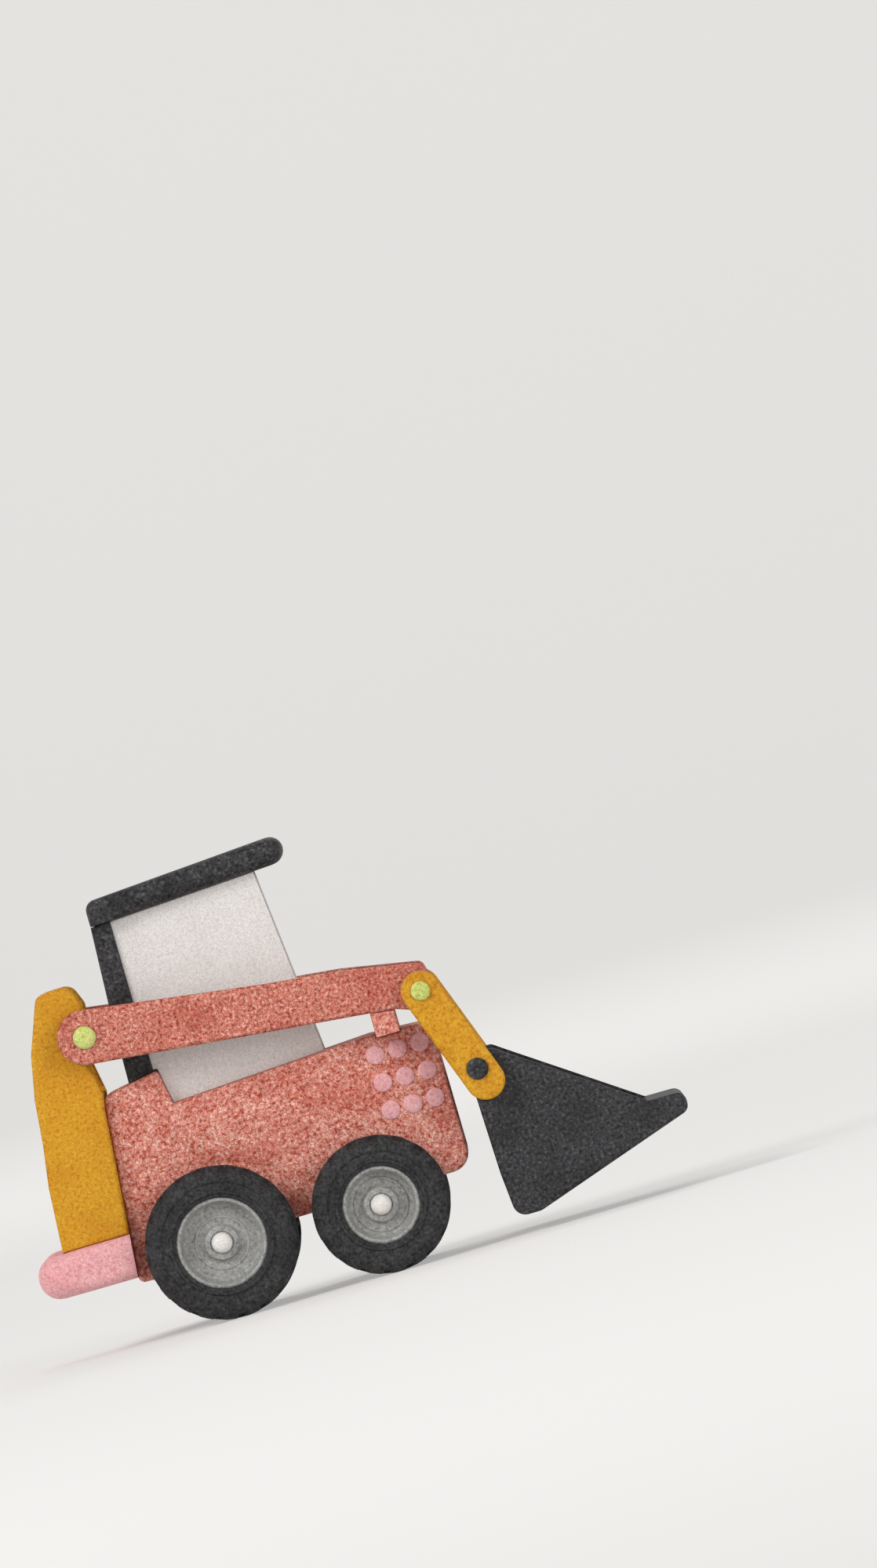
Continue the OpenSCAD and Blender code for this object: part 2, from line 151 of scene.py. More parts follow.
def ramp(tree, factor, stops):
    """The colour output of a ramp through (place, colour) stops."""
    made = tree.nodes.new("ShaderNodeValToRGB")
    tree.links.new(factor, made.inputs["Fac"])
    elements = made.color_ramp.elements
    while len(elements) < len(stops):
        elements.new(0.5)
    for element, (place, colour) in zip(elements, stops):
        element.position = place
        element.color = (*colour, 1)
    return made.outputs["Color"]


def mix(tree, factor, a, b, blend):
    """The colour output of a mix; factor, a and b are each a value or a socket."""
    made = tree.nodes.new("ShaderNodeMix")
    made.data_type = "RGBA"
    made.blend_type = blend
    for socket, value in ((made.inputs[0], factor), (made.inputs[6], a), (made.inputs[7], b)):
        if hasattr(value, "is_linked"):
            tree.links.new(value, socket)
        else:
            socket.default_value = value if isinstance(value, float) else (*value, 1)
    return made.outputs[2]


def noise(tree, place, scale, detail):
    """The value output of a noise texture."""
    made = add(tree, "ShaderNodeTexNoise", {"Scale": scale, "Detail": detail}, {"Vector": place})
    return made.outputs["Fac"]


def power(colour, exponent):
    """A colour made darker by an exponent over 1, and lighter by one under 1."""
    return tuple(channel ** exponent for channel in colour)


def vary_roughness(tree, principled, value, low, high):
    """Lets the roughness follow a noise value between low and high."""
    roughness = add(tree, "ShaderNodeMapRange", {"To Min": low, "To Max": high}, {"Value": value})
    tree.links.new(roughness.outputs[0], principled.inputs["Roughness"])


def raise_surface(tree, principled, height, strength, relief):
    """Fine bumps that follow a height value."""
    bumps = add(tree, "ShaderNodeBump", {"Strength": strength, "Distance": relief},
                {"Height": height})
    tree.links.new(bumps.outputs["Normal"], principled.inputs["Normal"])


def heather(tree, colour, contrast, fleck, grain, patch):
    """Darker and lighter flecks of a colour, with grain inside them and broad soft patches."""
    stops = (power(colour, 1 + DARKER * contrast), colour, colour,
             power(colour, 1 - LIGHTER * contrast))
    flecks = ramp(tree, fleck, list(zip(FLECK_STEPS, stops)))
    stops = ((1 - GRAIN_RANGE * contrast,) * 3, WHITE, (1 + GRAIN_RANGE * contrast,) * 3)
    grains = ramp(tree, grain, list(zip(GRAIN_STEPS, stops)))
    stops = (power(colour, PATCH_TINT * contrast), WHITE)
    patches = ramp(tree, patch, list(zip(PATCH_STEPS, stops)))
    flecks = mix(tree, 1.0, flecks, grains, "MULTIPLY")
    return mix(tree, PATCH_SHARE, flecks, patches, "MULTIPLY")


def heathered(name, colour, contrast, rough):
    """Matte moulded plastic with fine darker and lighter flecks."""
    material, tree, principled = shader(name)
    place = add(tree, "ShaderNodeTexCoord").outputs["Object"]
    fleck, grain, patch = (noise(tree, place, 1 / FLECK * cells, detail)
                           for cells, detail in (FLECK_NOISE, GRAIN_NOISE, PATCH_NOISE))
    tree.links.new(heather(tree, colour, contrast, fleck, grain, patch),
                   principled.inputs["Base Color"])
    vary_roughness(tree, principled, fleck, rough - ROUGH_RANGE, rough + ROUGH_RANGE)
    height = add(tree, "ShaderNodeMath", None, {0: grain, 1: fleck})
    raise_surface(tree, principled, height.outputs[0], PLASTIC_BUMP, PLASTIC_RELIEF)
    principled.inputs["Specular IOR Level"].default_value = PLASTIC_SPECULAR
    return material


def turned_steel(name, colour):
    """Bare steel with fine scratches along it and faint stains."""
    material, tree, principled = shader(name)
    place = add(tree, "ShaderNodeTexCoord").outputs["Object"]
    stretched = add(tree, "ShaderNodeMapping", {"Scale": SCRATCH_STRETCH}, {"Vector": place})
    scratch = noise(tree, stretched.outputs["Vector"], *SCRATCH_NOISE)
    stain = noise(tree, place, *STAIN_NOISE)
    tone = ramp(tree, stain, list(zip(STAIN_STEPS, (power(colour, STAIN_DARKER), colour))))
    tree.links.new(tone, principled.inputs["Base Color"])
    vary_roughness(tree, principled, scratch, *STEEL_ROUGH)
    raise_surface(tree, principled, scratch, SCRATCH_BUMP, SCRATCH_RELIEF)
    principled.inputs["Metallic"].default_value = 1.0
    return material


def make_materials():
    """Every material by its slot name: its colour, how much it is flecked and how rough it is."""
    plastics = (
        ("coral_plastic", (0.600, 0.226, 0.170), 1.0, PLASTIC_ROUGH),
        ("arm_plastic", (0.520, 0.168, 0.120), 1.0, PLASTIC_ROUGH),
        ("ochre_plastic", (0.575, 0.280, 0.008), 0.42, PLASTIC_ROUGH),
        ("pink_plastic", (0.730, 0.372, 0.385), 0.4, PLASTIC_ROUGH),
        ("charcoal_plastic", (0.031, 0.030, 0.033), 0.62, PLASTIC_ROUGH),
        ("milky_panel", (0.68, 0.655, 0.635), 0.3, 0.45),
        ("white_plastic", (0.72, 0.69, 0.66), 0.3, 0.45),
        ("lime_plastic", (0.54, 0.58, 0.17), 0.5, 0.45),
        ("grey_rim", (0.31, 0.31, 0.30), 0.42, 0.5),
        ("tyre_rubber", (0.030, 0.029, 0.030), 0.42, 0.75),
    )
    made = {name: heathered(name, colour, contrast, rough)
            for name, colour, contrast, rough in plastics}
    made["steel"] = turned_steel("steel", (0.58, 0.58, 0.60))
    return made


# --- Mesh helpers -------------------------------------------------------------------------
# Faces that meet at less than this look like one smooth surface
SMOOTH_BELOW = math.radians(32)
# Faces that meet at less than this are one flat face, and corners nearer than this are one
FLAT_BELOW = math.radians(1)
SAME_PLACE = 2e-6
# Each CAD node's material slot and body, from the record
SLOT_OF = {row["node"]: row["material_slot"] for row in frame["record"]["subparts"]}
BODY_OF = {node: body for body, members in frame["record"]["behaviour"]["bodies"].items()
           for node in members}
# Which way along Y each side lies
SIDES = {"left": 1, "right": -1}


def centre(node):
    """The middle of a CAD node's box."""
    low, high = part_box(node)
    return (low + high) / 2


def reach(node):
    """How far from the toy's middle a side node starts and ends, in millimetres."""
    low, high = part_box(node)
    return sorted((abs(low.y) / MM, abs(high.y) / MM))


def outer_radius(node):
    """The radius of a round node, in millimetres."""
    low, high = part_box(node)
    return (high.z - low.z) / 2 / MM


def object_from(b, name):
    """A linked object made from a bmesh, which is freed."""
    bmesh.ops.recalc_face_normals(b, faces=b.faces)
    mesh = bpy.data.meshes.new(name)
    b.to_mesh(mesh)
    b.free()
    made = bpy.data.objects.new(name, mesh)
    bpy.context.scene.collection.objects.link(made)
    return made


def apply_modifiers(piece):
    """Replaces a piece's mesh with what its modifiers make of it."""
    graph = bpy.context.evaluated_depsgraph_get()
    graph.update()
    done = bpy.data.meshes.new_from_object(piece.evaluated_get(graph))
    piece.modifiers.clear()
    piece.data = done


def smooth(mesh):
    """Smooth shading on every face."""
    mesh.polygons.foreach_set("use_smooth", [True] * len(mesh.polygons))


def shade(piece):
    """Smooth shading with sharp steep edges, where the larger faces lead the normals."""
    smooth(piece.data)
    piece.data.set_sharp_from_angle(angle=SMOOTH_BELOW)
    weighted = piece.modifiers.new("weighted", "WEIGHTED_NORMAL")
    weighted.keep_sharp = True


def round_edges(piece, width, segments=3):
    """Rounds every steep edge by width millimetres."""
    smooth(piece.data)
    bevel = piece.modifiers.new("bevel", "BEVEL")
    bevel.width = width * MM
    bevel.segments = segments
    bevel.limit_method = "ANGLE"
    bevel.angle_limit = SMOOTH_BELOW
    bevel.harden_normals = True


def dress(piece, body, slot):
    """Gives a piece its material, its body and the record's slot."""
    piece.data.materials.clear()
    piece.data.materials.append(MATERIALS[slot])
    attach(piece, body)


def stand_for(piece, node):
    """The piece takes over from a CAD node: its body, its slot and its place."""
    dress(piece, BODY_OF[node], SLOT_OF[node])
    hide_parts(node)


def tidy_faces(b):
    """Joins split corners, merges flat triangles into whole faces and drops loose edges."""
    bmesh.ops.remove_doubles(b, verts=b.verts, dist=SAME_PLACE)
    bmesh.ops.dissolve_limit(b, angle_limit=FLAT_BELOW, verts=b.verts, edges=b.edges)
    loose = [edge for edge in b.edges if not edge.link_faces]
    bmesh.ops.delete(b, geom=loose, context="EDGES")


def bulk(node, name):
    """A new object with the shape of a CAD node."""
    b = bmesh.new()
    b.from_mesh(NODES[node].data)
    tidy_faces(b)
    return object_from(b, name)


def combine(piece, tool, operation):
    """Joins a tool object on to a piece, or keeps only what lies inside the tool, which is
    removed."""
    boolean = piece.modifiers.new("boolean", "BOOLEAN")
    boolean.object = tool
    boolean.operation = operation
    boolean.solver = "EXACT"
    apply_modifiers(piece)
    bpy.data.objects.remove(tool)
    b = bmesh.new()
    b.from_mesh(piece.data)
    tidy_faces(b)
    b.to_mesh(piece.data)
    b.free()


def soften(piece, width):
    """Rounds a CAD node's edges without moving its faces."""
    weld = piece.modifiers.new("weld", "WELD")
    weld.merge_threshold = SAME_PLACE
    flat = piece.modifiers.new("flat", "DECIMATE")
    flat.decimate_type = "DISSOLVE"
    flat.angle_limit = FLAT_BELOW
    round_edges(piece, width)


def turned(name, axis_point, side, profile, steps=96, radius=None):
    """A body of revolution about a cross axis. profile lists (radius, distance outward) in
    millimetres from the middle of the toy. radius(row, step) may give each point of a ring its
    own radius and place round the ring instead."""
    b = bmesh.new()
    rings = []
    for row, (r, out) in enumerate(profile):
        ring = []
        for step in range(steps if r else 1):
            here, turn = (r, step / steps) if radius is None else radius(row, step)
            angle = 2 * math.pi * turn
            ring.append(b.verts.new((axis_point.x + here * MM * math.cos(angle),
                                     side * out * MM,
                                     axis_point.z + here * MM * math.sin(angle))))
        rings.append(ring)
    closed = profile[0][0] > 0 and profile[-1][0] > 0
    pairs = list(zip(rings, rings[1:])) + ([(rings[-1], rings[0])] if closed else [])
    for one, two in pairs:
        for i in range(steps):
            j = (i + 1) % steps
            corners = [one[i % len(one)], one[j % len(one)], two[j % len(two)], two[i % len(two)]]
            b.faces.new(list(dict.fromkeys(corners)))
    return object_from(b, name)


def arc(centre_r, centre_out, r, start, end, steps):
    """Profile points along an arc, with angles in degrees from the outward radius."""
    angles = [math.radians(start + (end - start) * i / steps) for i in range(steps + 1)]
    return [(centre_r + r * math.cos(a), centre_out + r * math.sin(a)) for a in angles]


# --- Rounded mouldings --------------------------------------------------------------------
# A moulding is its CAD node cut back to an envelope with rounded edges, so that its holes and
# hollows stay. The envelope is a hair smaller, so that it gives every outer face.
HAIR = 0.015 * MM
# Steps round an edge and round a corner in plan, and the longest straight stretch in plan
ROUND_STEPS = 5
PLAN_STEPS = 8
PLAN_GAP = 4 * MM
# A face belongs to a side when it faces across this squarely and lies this near
SQUARE_ON = 0.999
NEAR = 1e-5
# Less of a turn than this is no corner
LEAST_TURN = 1e-3
# Vent stud places and radius, in millimetres
VENT_COLUMNS = (22.5, 33.0, 43.5)
VENT_ROWS = (71.0, 84.0, 97.0)
VENT_R = 4.38


def side_outline(node, y):
    """The outer outline, as (x, z) points, of a CAD node's flat side face at y."""
    b = bmesh.new()
    b.from_mesh(NODES[node].data)
    bmesh.ops.remove_doubles(b, verts=b.verts, dist=SAME_PLACE)
    faces = [face for face in b.faces
             if abs(face.normal.y) > SQUARE_ON and abs(face.calc_center_median().y - y) < NEAR]
    members = set(faces)
    ahead = {}
    for face in faces:
        for loop in face.loops:
            if sum(other in members for other in loop.edge.link_faces) == 1:
                ahead[loop.vert] = loop.link_loop_next.vert
    outlines = []
    while ahead:
        start = next(iter(ahead))
        points, vert = [], start
        while vert in ahead:
            points.append(Vector((vert.co.x, vert.co.z)))
            vert = ahead.pop(vert)
        outlines.append(points)
    b.free()
    corners = turning_points(max(outlines, key=lambda points: abs(area(points))))
    return corners if area(corners) > 0 else corners[::-1]


def with_neighbours(points):
    """Each point of a closed outline with the points before and after it."""
    return zip(points[-1:] + points[:-1], points, points[1:] + points[:1])


def turning_points(points):
    """The points where an outline turns."""
    return [p for before, p, after in with_neighbours(points)
            if abs((p - before).normalized().cross((after - p).normalized())) > LEAST_TURN]


def area(points):
    """The area inside an outline, which is positive if it runs counter-clockwise."""
    return sum(p.cross(q) for p, q in zip(points, points[1:] + points[:1])) / 2


def inset(points, distance):
    """A counter-clockwise outline with every edge moved inward."""
    moved = []
    for before, p, after in with_neighbours(points):
        one, two = (p - before).normalized(), (after - p).normalized()
        inward = Vector((-one.y, one.x)) + Vector((-two.y, two.x))
        moved.append(p + inward * distance / (1 + one.dot(two)))
    return moved


def rounded_slab(points, y0, y1, radius, ends=(True, True)):
    """A slab across the toy between y0 and y1, with its side rims rounded where ends says."""
    rows = []
    angles = [math.pi / 2 * i / ROUND_STEPS for i in range(ROUND_STEPS + 1)]
    for y, away, rounded in ((y0, 1, ends[0]), (y1, -1, ends[1])):
        rims = [(radius * (1 - math.sin(a)), radius * (1 - math.cos(a))) for a in angles]
        rims = rims if rounded else [(0, 0)]
        side = [(inset(points, HAIR + inward), y + away * (HAIR + back)) for inward, back in rims]
        rows += side if away > 0 else side[::-1]
    b = bmesh.new()
    rings = [[b.verts.new((p.x, y, p.y)) for p in ring] for ring, y in rows]
    for one, two in zip(rings, rings[1:]):
        for i in range(len(one)):
            j = (i + 1) % len(one)
            b.faces.new((one[i], one[j], two[j], two[i]))
    b.faces.new(rings[0])
    b.faces.new(rings[-1][::-1])
    return object_from(b, "envelope")


def cut_to(node, name, envelopes):
    """A moulding: the CAD node where it lies inside the envelopes."""
    envelope = envelopes[0]
    for other in envelopes[1:]:
        combine(envelope, other, "UNION")
    piece = bulk(node, name)
    combine(piece, envelope, "INTERSECT")
    shade(piece)
    stand_for(piece, node)


def flat_slab_piece(node, radius):
    """A moulding whose whole shape is one slab across the toy."""
    low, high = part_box(node)
    cut_to(node, f"{node}_moulded",
           [rounded_slab(side_outline(node, low.y), low.y, high.y, radius * MM)])


def make_body():
    """The shell between its flat sides, and the arm rests that stand out from them."""
    body_edge = 1.8 * MM
    rest_edge = 0.8 * MM
    rest_root = 6 * MM
    low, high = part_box("body_shell")
    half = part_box("cab_roof")[1].y
    shell = side_outline("body_shell", half)
    left = side_outline("body_shell", high.y)
    right = side_outline("body_shell", low.y)
    cut_to("body_shell", "body_shell_moulded",
           [rounded_slab(shell, -half, half, body_edge),
            rounded_slab(right, low.y, rest_root - half, rest_edge, (True, False)),
            rounded_slab(left, half - rest_root, high.y, rest_edge, (False, True))])


def make_tower():
    """Two rounded uprights with the plain hood between them."""
    edge = 1.8 * MM
    upright_width = 10 * MM
    overlap = 3 * MM
    below_hood = 101 * MM
    hood_top = 117 * MM
    hood_lean = 7 * MM
    low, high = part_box("rear_tower")
    upright = side_outline("rear_tower", high.y)
    inner = high.y - upright_width
    foot = [p for p in upright if p.y < below_hood]
    front = max(p.x for p in foot)
    bottom = min(p.y for p in foot)
    hood = [Vector((low.x, bottom)), Vector((front, bottom)),
            Vector((front + hood_lean, hood_top)), Vector((low.x, hood_top))]
    cut_to("rear_tower", "rear_tower_moulded",
           [rounded_slab(upright, inner, high.y, edge),
            rounded_slab(upright, low.y, -inner, edge),
            rounded_slab(hood, -inner - overlap, inner + overlap, 0, (False, False))])


def plan_ring(rear, front, half, rear_r, front_r):
    """Points and outward normals round a plan with round corners, counter-clockwise."""
    ring = []
    corners = [(front, -half, front_r, -90), (front, half, front_r, 0),
               (rear, half, rear_r, 90), (rear, -half, rear_r, 180)]
    for x, y, r, start in corners:
        middle = Vector((x - math.copysign(r, x - (rear + front) / 2), y - math.copysign(r, y)))
        for i in range(PLAN_STEPS + 1):
            a = math.radians(start + 90 * i / PLAN_STEPS)
            normal = Vector((math.cos(a), math.sin(a)))
            ring.append((middle + normal * r, normal))
    full = []
    for (p, normal), (q, _) in zip(ring, ring[1:] + ring[:1]):
        full.append((p, normal))
        pieces = int((q - p).length / PLAN_GAP)
        full += [(p.lerp(q, i / pieces), normal) for i in range(1, pieces)]
    return full


def cushion(ring, top, bottom, upper, lower):
    """A flat moulding with a rounded edge all round. top and bottom give its height at x; upper
    and lower give the radius there of its top and bottom edges."""
    rows = []
    angles = [math.pi / 2 * i / ROUND_STEPS for i in range(ROUND_STEPS + 1)]
    for a in reversed(angles):
        moved = [p - n * (HAIR + upper(p.x) * (1 - math.cos(a))) for p, n in ring]
        rows.append([(q.x, q.y, bottom(q.x) + HAIR + lower(q.x) * (1 - math.sin(a)))
                     for q in moved])
    for a in angles:
        moved = [p - n * (HAIR + upper(p.x) * (1 - math.cos(a))) for p, n in ring]
        rows.append([(q.x, q.y, top(q.x) - HAIR - upper(q.x) * (1 - math.sin(a)))
                     for q in moved])
    b = bmesh.new()
    rings = [[b.verts.new(place) for place in row] for row in rows]
    for one, two in zip(rings, rings[1:]):
        for i in range(len(one)):
            j = (i + 1) % len(one)
            b.faces.new((one[i], one[j], two[j], two[i]))
    b.faces.new(rings[0])
    b.faces.new(rings[-1][::-1])
    return object_from(b, "envelope")


def blend(x, start, end, first, last):
    """Goes smoothly from first to last as x goes from start to end."""
    t = min(1, max(0, (x - start) / (end - start)))
    return first + (last - first) * t * t * (3 - 2 * t)


def plain_block(x0, x1, y0, y1, z0, z1):
    """A square-edged part of an envelope."""
    corners = [Vector(corner) for corner in ((x0, z0), (x1, z0), (x1, z1), (x0, z1))]
    return rounded_slab(corners, y0, y1, 0, (False, False))


def make_cab_frame():
    """Rounded pillars, with the cross bars and the tenons left square."""
    edge = 1.0 * MM
    over = 1.0 * MM
    bar_back = 2 * MM
    tenon_back = 4 * MM
    tenon_bottom = 185 * MM
    roof_bite = 0.3 * MM
    low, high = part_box("cab_rear_frame")
    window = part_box("cab_rear_window")
    roof_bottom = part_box("cab_roof")[0].z
    pillar = side_outline("cab_rear_frame", high.y)
    inner = window[1].y
    envelopes = [rounded_slab(pillar, inner, high.y, edge),
                 rounded_slab(pillar, low.y, -inner, edge)]
    for bottom, top in ((low.z, window[0].z + over), (window[1].z - over, roof_bottom + roof_bite)):
        envelopes.append(plain_block(low.x + bar_back, high.x + over,
                                     -inner - over, inner + over, bottom, top))
    for y0, y1 in ((inner + over, high.y - over), (-high.y + over, -inner - over)):
        envelopes.append(plain_block(low.x + tenon_back, high.x - over,
                                     y0, y1, tenon_bottom, high.z + over))
    cut_to("cab_rear_frame", "cab_rear_frame_moulded", envelopes)


def make_roof():
    """A slab that grows thicker and rounder towards its front, with a flat back edge below."""
    rear_corner = 7 * MM
    front_corner = 10 * MM
    # In millimetres: heights at the rear and how much they rise to the front, and edge radii
    rear_top, top_rise = 200, 6
    rear_bottom, bottom_rise = 188.3, 4.9
    rear_edge, front_edge = 4.6, 6.2
    flat_edge = 0.5
    # Where the flat back edge ends and the full round starts
    flat_end = 6 * MM
    round_start = 30 * MM
    low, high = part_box("cab_roof")
    ring = plan_ring(low.x, high.x, high.y, rear_corner, front_corner)

    def top(x):
        return (rear_top + top_rise * (x - low.x) / (high.x - low.x)) * MM

    def bottom(x):
        return (rear_bottom + bottom_rise * (x - low.x) / (high.x - low.x)) * MM

    def upper(x):
        return blend(x, low.x, high.x, rear_edge, front_edge) * MM

    def lower(x):
        return blend(x, low.x + flat_end, low.x + round_start, flat_edge, front_edge) * MM

    cut_to("cab_roof", "cab_roof_moulded", [cushion(ring, top, bottom, upper, lower)])


def make_bumper():
    """A full round at the back, and a smaller one where the bumper meets the body."""
    corner = 11 * MM
    past_front = 15 * MM
    # Edge radii in millimetres, and where the one ends and the other starts
    back_edge, front_edge = 9.3, 5.0
    back_end = 9 * MM
    front_start = 24 * MM
    low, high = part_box("rear_bumper")
    ring = plan_ring(low.x, high.x + past_front, high.y, corner, corner)

    def edge(x):
        return blend(x, low.x + back_end, low.x + front_start, back_edge, front_edge) * MM

    cut_to("rear_bumper", "rear_bumper_moulded",
           [cushion(ring, lambda x: high.z, lambda x: low.z, edge, edge)])


def make_vents(name, side):
    """The plate behind the body side, with its nine domed studs."""
    plate_t = 2.5
    plate_edge = 0.4 * MM
    stud_steps = 48
    node = f"vent_insert_{name}"
    inner, tip = reach(node)
    face = side * inner * MM
    y0, y1 = sorted((face, side * (inner + plate_t) * MM))
    plate = rounded_slab(side_outline(node, face), y0, y1, plate_edge)
    profile = [(0, inner + 1), (VENT_R, inner + 1), (VENT_R, tip - 0.9),
               (VENT_R - 0.1, tip - 0.6), (VENT_R - 0.45, tip - 0.35),
               (VENT_R * 0.72, tip - 0.12), (VENT_R * 0.4, tip - 0.02), (0, tip)]
    for x in VENT_COLUMNS:
        for z in VENT_ROWS:
            stud = turned("stud", Vector((x * MM, 0, z * MM)), side, profile, stud_steps)
            combine(plate, stud, "UNION")
    plate.name = f"{node}_domed"
    shade(plate)
    stand_for(plate, node)


def make_seat():
    """Rounded seat and consoles. The block below them and the two levers keep their shape."""
    seat_half = 15 * MM
    seat_edge = 2.4 * MM
    console_in = 17 * MM
    console_edge = 1.5 * MM
    block_back = -49.5 * MM
    block_top = 108.3 * MM
    over = 1.0 * MM
    lever_x = -27.5 * MM
    lever_y = 20.5 * MM
    # The stem and the knob: half width, bottom and top
    lever_parts = ((1.8 * MM, 124 * MM, 137 * MM), (3.2 * MM, 135.9 * MM, 142.5 * MM))
    low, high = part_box("driver_seat")
    seat = side_outline("driver_seat", seat_half)
    console = side_outline("driver_seat", high.y)
    envelopes = [rounded_slab(seat, -seat_half, seat_half, seat_edge),
                 plain_block(block_back, high.x, -console_in - over, console_in + over,
                             low.z, block_top),
                 rounded_slab(console, console_in, high.y, console_edge),
                 rounded_slab(console, low.y, -console_in, console_edge)]
    for y in (lever_y, -lever_y):
        for half, bottom, top in lever_parts:
            envelopes.append(plain_block(lever_x - half, lever_x + half,
                                         y - half, y + half, bottom, top))
    cut_to("driver_seat", "driver_seat_moulded", envelopes)


def make_mouldings():
    """Every piece of rounded plastic."""
    make_body()
    make_tower()
    for name in SIDES:
        for kind, edge in (("lift_arm", 2.0), ("bucket_link", 1.5), ("cab_window", 0.6)):
            flat_slab_piece(f"{kind}_{name}", edge)
    flat_slab_piece("bucket", 1.8)
    make_cab_frame()
    make_seat()
    make_roof()
    make_bumper()
    for name, side in SIDES.items():
        make_vents(name, side)


# --- Wheels -------------------------------------------------------------------------------
# Tread pitches round each tyre
PITCHES = {"rear": 20, "front": 18}
# In millimetres: the tyre, the step at its mouth and the edges of its lugs
TYRE_WIDTH = 23.5
TYRE_SET_BACK = 0.3
TREAD_DEPTH = 1.5
LUG_EDGE = 0.22
# How far round one tread pitch each lug starts to rise, is full, starts to fall and ends, how far
# the lugs of one side trail the other's, and how far a lug's outer end trails its inner end
LUG = (0.0, 0.05, 0.58, 0.63)
STAGGER = 0.5
SWEEP = 0.32
# Where round a pitch the mesh has a column: at each change of height and in two long stretches
LUG_CHANGES = {round((place + shift) % 1, 3) for place in LUG for shift in (0, STAGGER)}
COLUMNS = sorted(LUG_CHANGES | {0.32, 0.82})
# Keeps a column that lies on a lug's start in its own pitch
ROUNDING = 1e-6
# The hole for the axle rod
BORE_R = 2.02


def lug_height(turn):
    """0 in a tread groove and 1 on a lug, at a place in the tread pitch."""
    rise, full, fall, end = LUG
    turn = (turn + ROUNDING) % 1
    if turn < full:
        return (turn - rise) / (full - rise)
    if turn < fall:
        return 1
    return max(0, (end - turn) / (end - fall))


def tyre_section(seat, outer):
    """The section round the tyre, as (radius on a lug, radius in a groove, distance from the
    outer side face, 1 on that side and -1 on the other). seat is the rim's radius."""
    middle = TYRE_WIDTH / 2
    groove = outer - TREAD_DEPTH
    mid = (seat + outer) / 2
    bead = [(seat, 2.1), (seat + 0.6, 1.5), (seat + 1.6, 1.3), (seat + 2.1, 0.35),
            (seat + 3.1, 0.35), (seat + 3.6, 1.2)]
    ring = [(mid - 0.6, 1.2), (mid + 0.2, 0.5), (outer - 5.6, 0.55)]
    shoulder = [(outer - 4.2, outer - 4.4, 0.95), (outer - 2.7, outer - 3.5, 1.7),
                (outer - 1.4, outer - 2.6, 2.8), (outer - 0.5, outer - 2.0, 4.1)]
    tread = [(outer, groove, 5.8), (outer, groove, middle - 1.0), (groove, groove, middle - 0.5)]
    half = [(r, r, out) for r, out in bead + ring] + shoulder + tread
    return ([(lug, low, out, 1) for lug, low, out in half]
            + [(lug, low, TYRE_WIDTH - out, -1) for lug, low, out in reversed(half)])


def make_tyre(which, name, side):
    """A tyre with rings on its sides and staggered lugs round its tread."""
    node = f"{which}_tyre_{name}"
    rows = tyre_section(outer_radius(f"{which}_rim_{name}"), outer_radius(node))
    inner_face = reach(node)[0] - TYRE_SET_BACK
    middle = TYRE_WIDTH / 2
    pitches, per_pitch = PITCHES[which], len(COLUMNS)

    def radius(row, step):
        on_lug, in_groove, out, half_side = rows[row]
        pitch, column = divmod(step, per_pitch)
        shift = STAGGER if half_side > 0 else 0
        height = lug_height(COLUMNS[column] - shift)
        sweep = SWEEP * abs(out - middle) / middle
        turn = (pitch + COLUMNS[column] + sweep) / pitches
        return in_groove + (on_lug - in_groove) * height, turn

    profile = [(lug, inner_face + out) for lug, _, out, _ in rows]
    piece = turned(f"{node}_treaded", centre(node), side, profile, pitches * per_pitch, radius)
    round_edges(piece, LUG_EDGE, 2)
    stand_for(piece, node)


def make_rim(which, name, side):
    """A dished rim, from its back round the rolled edge and the dish to the hub boss."""
    node = f"{which}_rim_{name}"
    seat = outer_radius(node)
    back, face = reach(node)
    dish = face - 6.6
    boss = face - 3.5
    tube_r = 6
    web_back = back + 9.7
    flange_back = back + 3.2
    profile = [(BORE_R, back), (tube_r - 0.3, back), (tube_r, back + 0.3), (tube_r, web_back),
               (seat - 3, web_back), (seat - 3, flange_back + 0.3), (seat - 2.7, flange_back),
               (seat, flange_back), (seat, face - 0.3)]
    profile += arc(seat - 0.9, face - 0.8, 0.8, 20, 160, 6)
    profile += [(seat - 2.2, face - 2.4), (seat - 2.6, face - 4.6)]
    profile += arc(seat - 4.6, dish + 1.9, 1.9, -10, -90, 5)
    profile += [(12.6, dish + 0.1), (12.3, dish + 0.45), (11.4, dish + 0.45), (11.1, dish + 0.1)]
    profile += arc(9.6, dish + 1.4, 1.4, -90, -170, 4)
    profile += [(7.9, boss - 0.9), (7.6, boss - 0.3), (7.0, boss), (5.4, boss),
                (5.1, boss - 0.4), (BORE_R, boss - 0.4)]
    piece = turned(f"{node}_dished", centre(node), side, profile)
    shade(piece)
    stand_for(piece, node)


def make_hub_cap(which, name, side):
    """A domed cap on a short stem."""
    stem_r, stem_length, lip = 2, 4, 0.7
    steps, around = 10, 64
    node = f"{which}_hub_cap_{name}"
    start, tip = reach(node)
    r = outer_radius(node)
    seat = start + stem_length
    rim_end = seat + lip
    profile = [(0, start), (stem_r - 0.1, start), (stem_r, seat), (r - 0.2, seat), (r, seat + 0.2)]
    for i in range(steps + 1):
        angle = math.pi / 2 * i / steps
        profile.append((r * math.cos(angle) if i < steps else 0,
                        rim_end + (tip - rim_end) * math.sin(angle)))
    piece = turned(f"{node}_domed", centre(node), side, profile, around)
    shade(piece)
    stand_for(piece, node)


def make_wheels():
    """The four tyres, rims and hub caps."""
    for name, side in SIDES.items():
        for which in PITCHES:
            make_tyre(which, name, side)
            make_rim(which, name, side)
            make_hub_cap(which, name, side)


